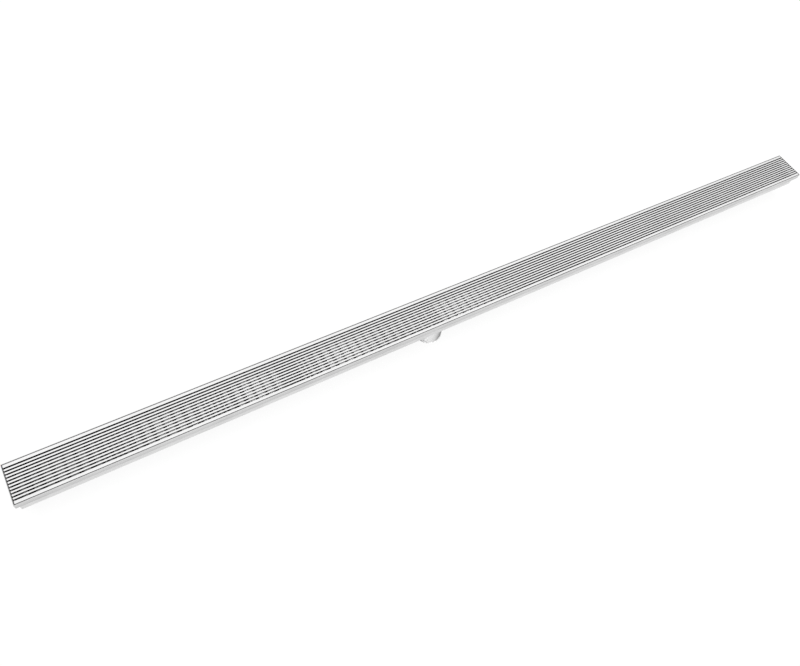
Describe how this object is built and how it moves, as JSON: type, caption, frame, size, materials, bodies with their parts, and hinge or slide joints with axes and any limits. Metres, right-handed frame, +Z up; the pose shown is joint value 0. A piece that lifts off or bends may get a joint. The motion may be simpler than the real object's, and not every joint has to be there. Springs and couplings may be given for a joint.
{
  "type": "linear shower drain",
  "caption": "Long linear shower drain: stepped sheet steel channel with a wedge wire grate on its ledge and a round outlet spigot off centre below.",
  "frame": {"origin": "centre of the outlet spigot's lower end", "axes": "+X along the channel towards its longer arm, +Y across it, +Z up out of the finished floor"},
  "size_m": [1.8, 0.07, 0.075],
  "materials": {
    "channel_steel": "satin",
    "spigot_steel": "satin",
    "grate_steel": "brushed",
    "wire_steel": "brushed",
    "rod_steel": "satin"
  },
  "bodies": {
    "root": {"channel": "channel_steel", "end_cap_left": "channel_steel", "end_cap_right": "channel_steel", "outlet_spigot": "spigot_steel", "edge_bar_front": "grate_steel", "edge_bar_back": "grate_steel", "end_rod_left": "rod_steel", "end_rod_right": "rod_steel", "support_rods": "rod_steel", "wedge_wire_1": "wire_steel", "wedge_wire_2": "wire_steel", "wedge_wire_3": "wire_steel", "wedge_wire_4": "wire_steel", "wedge_wire_5": "wire_steel", "wedge_wire_6": "wire_steel", "wedge_wire_7": "wire_steel", "wedge_wire_8": "wire_steel", "wedge_wire_9": "wire_steel", "wedge_wire_10": "wire_steel"}
  },
  "joints": []
}
